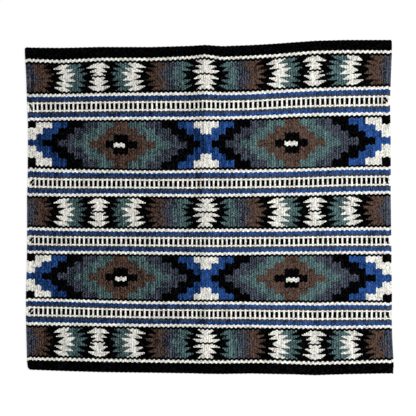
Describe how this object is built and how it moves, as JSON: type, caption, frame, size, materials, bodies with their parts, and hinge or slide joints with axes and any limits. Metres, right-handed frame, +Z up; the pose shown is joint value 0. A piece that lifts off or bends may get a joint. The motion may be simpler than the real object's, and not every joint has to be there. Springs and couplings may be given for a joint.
{
  "type": "saddle blanket",
  "caption": "Flat tapestry-woven wool saddle blanket with stripes and stepped and serrated motifs, corded edges, and a fold line along the spine so both sides drape or close.",
  "frame": {"origin": "bottom centre of the blanket's bounding box, lying flat on its underside", "axes": "+X across the blanket from near side to off side, +Y along the spine fold towards the front, +Z up"},
  "size_m": [0.965, 0.8829, 0.008],
  "materials": {
    "warp_cord": "natural undyed wool cord",
    "edge_cord": "black twined wool cord",
    "end_band": "black wool weft, ribbed",
    "serrated_band": "black wool weft with cream, teal, slate and brown toothed motifs",
    "ladder_band": "cream, blue and charcoal wool weft in stripes and bars",
    "stepped_ground": "blue wool weft with cream, black and slate steps",
    "brown_inlay": "brown wool weft",
    "teal_inlay": "grey-teal wool weft"
  },
  "bodies": {
    "spine": {"spine_end_cord_front": "edge_cord", "spine_end_cord_rear": "edge_cord", "spine_end_front": "end_band", "spine_end_rear": "end_band", "spine_ladder_fore_middle": "ladder_band", "spine_ladder_front": "ladder_band", "spine_ladder_rear": "ladder_band", "spine_ladder_rear_middle": "ladder_band", "spine_serrated_front": "serrated_band", "spine_serrated_middle": "serrated_band", "spine_serrated_rear": "serrated_band", "spine_stepped_front": "stepped_ground", "spine_stepped_rear": "stepped_ground", "warp_spine": "warp_cord"},
    "near_side": {"near_end_cord_front": "edge_cord", "near_end_cord_rear": "edge_cord", "near_end_front": "end_band", "near_end_rear": "end_band", "near_ladder_fore_middle": "ladder_band", "near_ladder_front": "ladder_band", "near_ladder_rear": "ladder_band", "near_ladder_rear_middle": "ladder_band", "near_serrated_front": "serrated_band", "near_serrated_middle": "serrated_band", "near_serrated_rear": "serrated_band", "near_side_cord": "edge_cord", "near_stepped_front_core": "brown_inlay", "near_stepped_front_ground_by_fold": "stepped_ground", "near_stepped_front_ground_by_side": "stepped_ground", "near_stepped_front_teal_by_fold": "teal_inlay", "near_stepped_front_teal_by_side": "teal_inlay", "near_stepped_rear_core": "brown_inlay", "near_stepped_rear_ground_by_fold": "stepped_ground", "near_stepped_rear_ground_by_side": "stepped_ground", "near_stepped_rear_teal_by_fold": "teal_inlay", "near_stepped_rear_teal_by_side": "teal_inlay", "warp_near": "warp_cord"},
    "off_side": {"off_end_cord_front": "edge_cord", "off_end_cord_rear": "edge_cord", "off_end_front": "end_band", "off_end_rear": "end_band", "off_ladder_fore_middle": "ladder_band", "off_ladder_front": "ladder_band", "off_ladder_rear": "ladder_band", "off_ladder_rear_middle": "ladder_band", "off_serrated_front": "serrated_band", "off_serrated_middle": "serrated_band", "off_serrated_rear": "serrated_band", "off_side_cord": "edge_cord", "off_stepped_front_core": "brown_inlay", "off_stepped_front_ground_by_fold": "stepped_ground", "off_stepped_front_ground_by_side": "stepped_ground", "off_stepped_front_teal_by_fold": "teal_inlay", "off_stepped_front_teal_by_side": "teal_inlay", "off_stepped_rear_core": "brown_inlay", "off_stepped_rear_ground_by_fold": "stepped_ground", "off_stepped_rear_ground_by_side": "stepped_ground", "off_stepped_rear_teal_by_fold": "teal_inlay", "off_stepped_rear_teal_by_side": "teal_inlay", "warp_off": "warp_cord"}
  },
  "joints": [
    {"name": "near_fold", "type": "hinge", "parent": "spine", "child": "near_side", "pos_m": [-0.0215, 0, 0.004], "axis": [0, 1, 0], "range_deg": [-90, 90]},
    {"name": "off_fold", "type": "hinge", "parent": "spine", "child": "off_side", "pos_m": [-0.0055, 0, 0.004], "axis": [0, -1, 0], "range_deg": [-90, 90]}
  ]
}
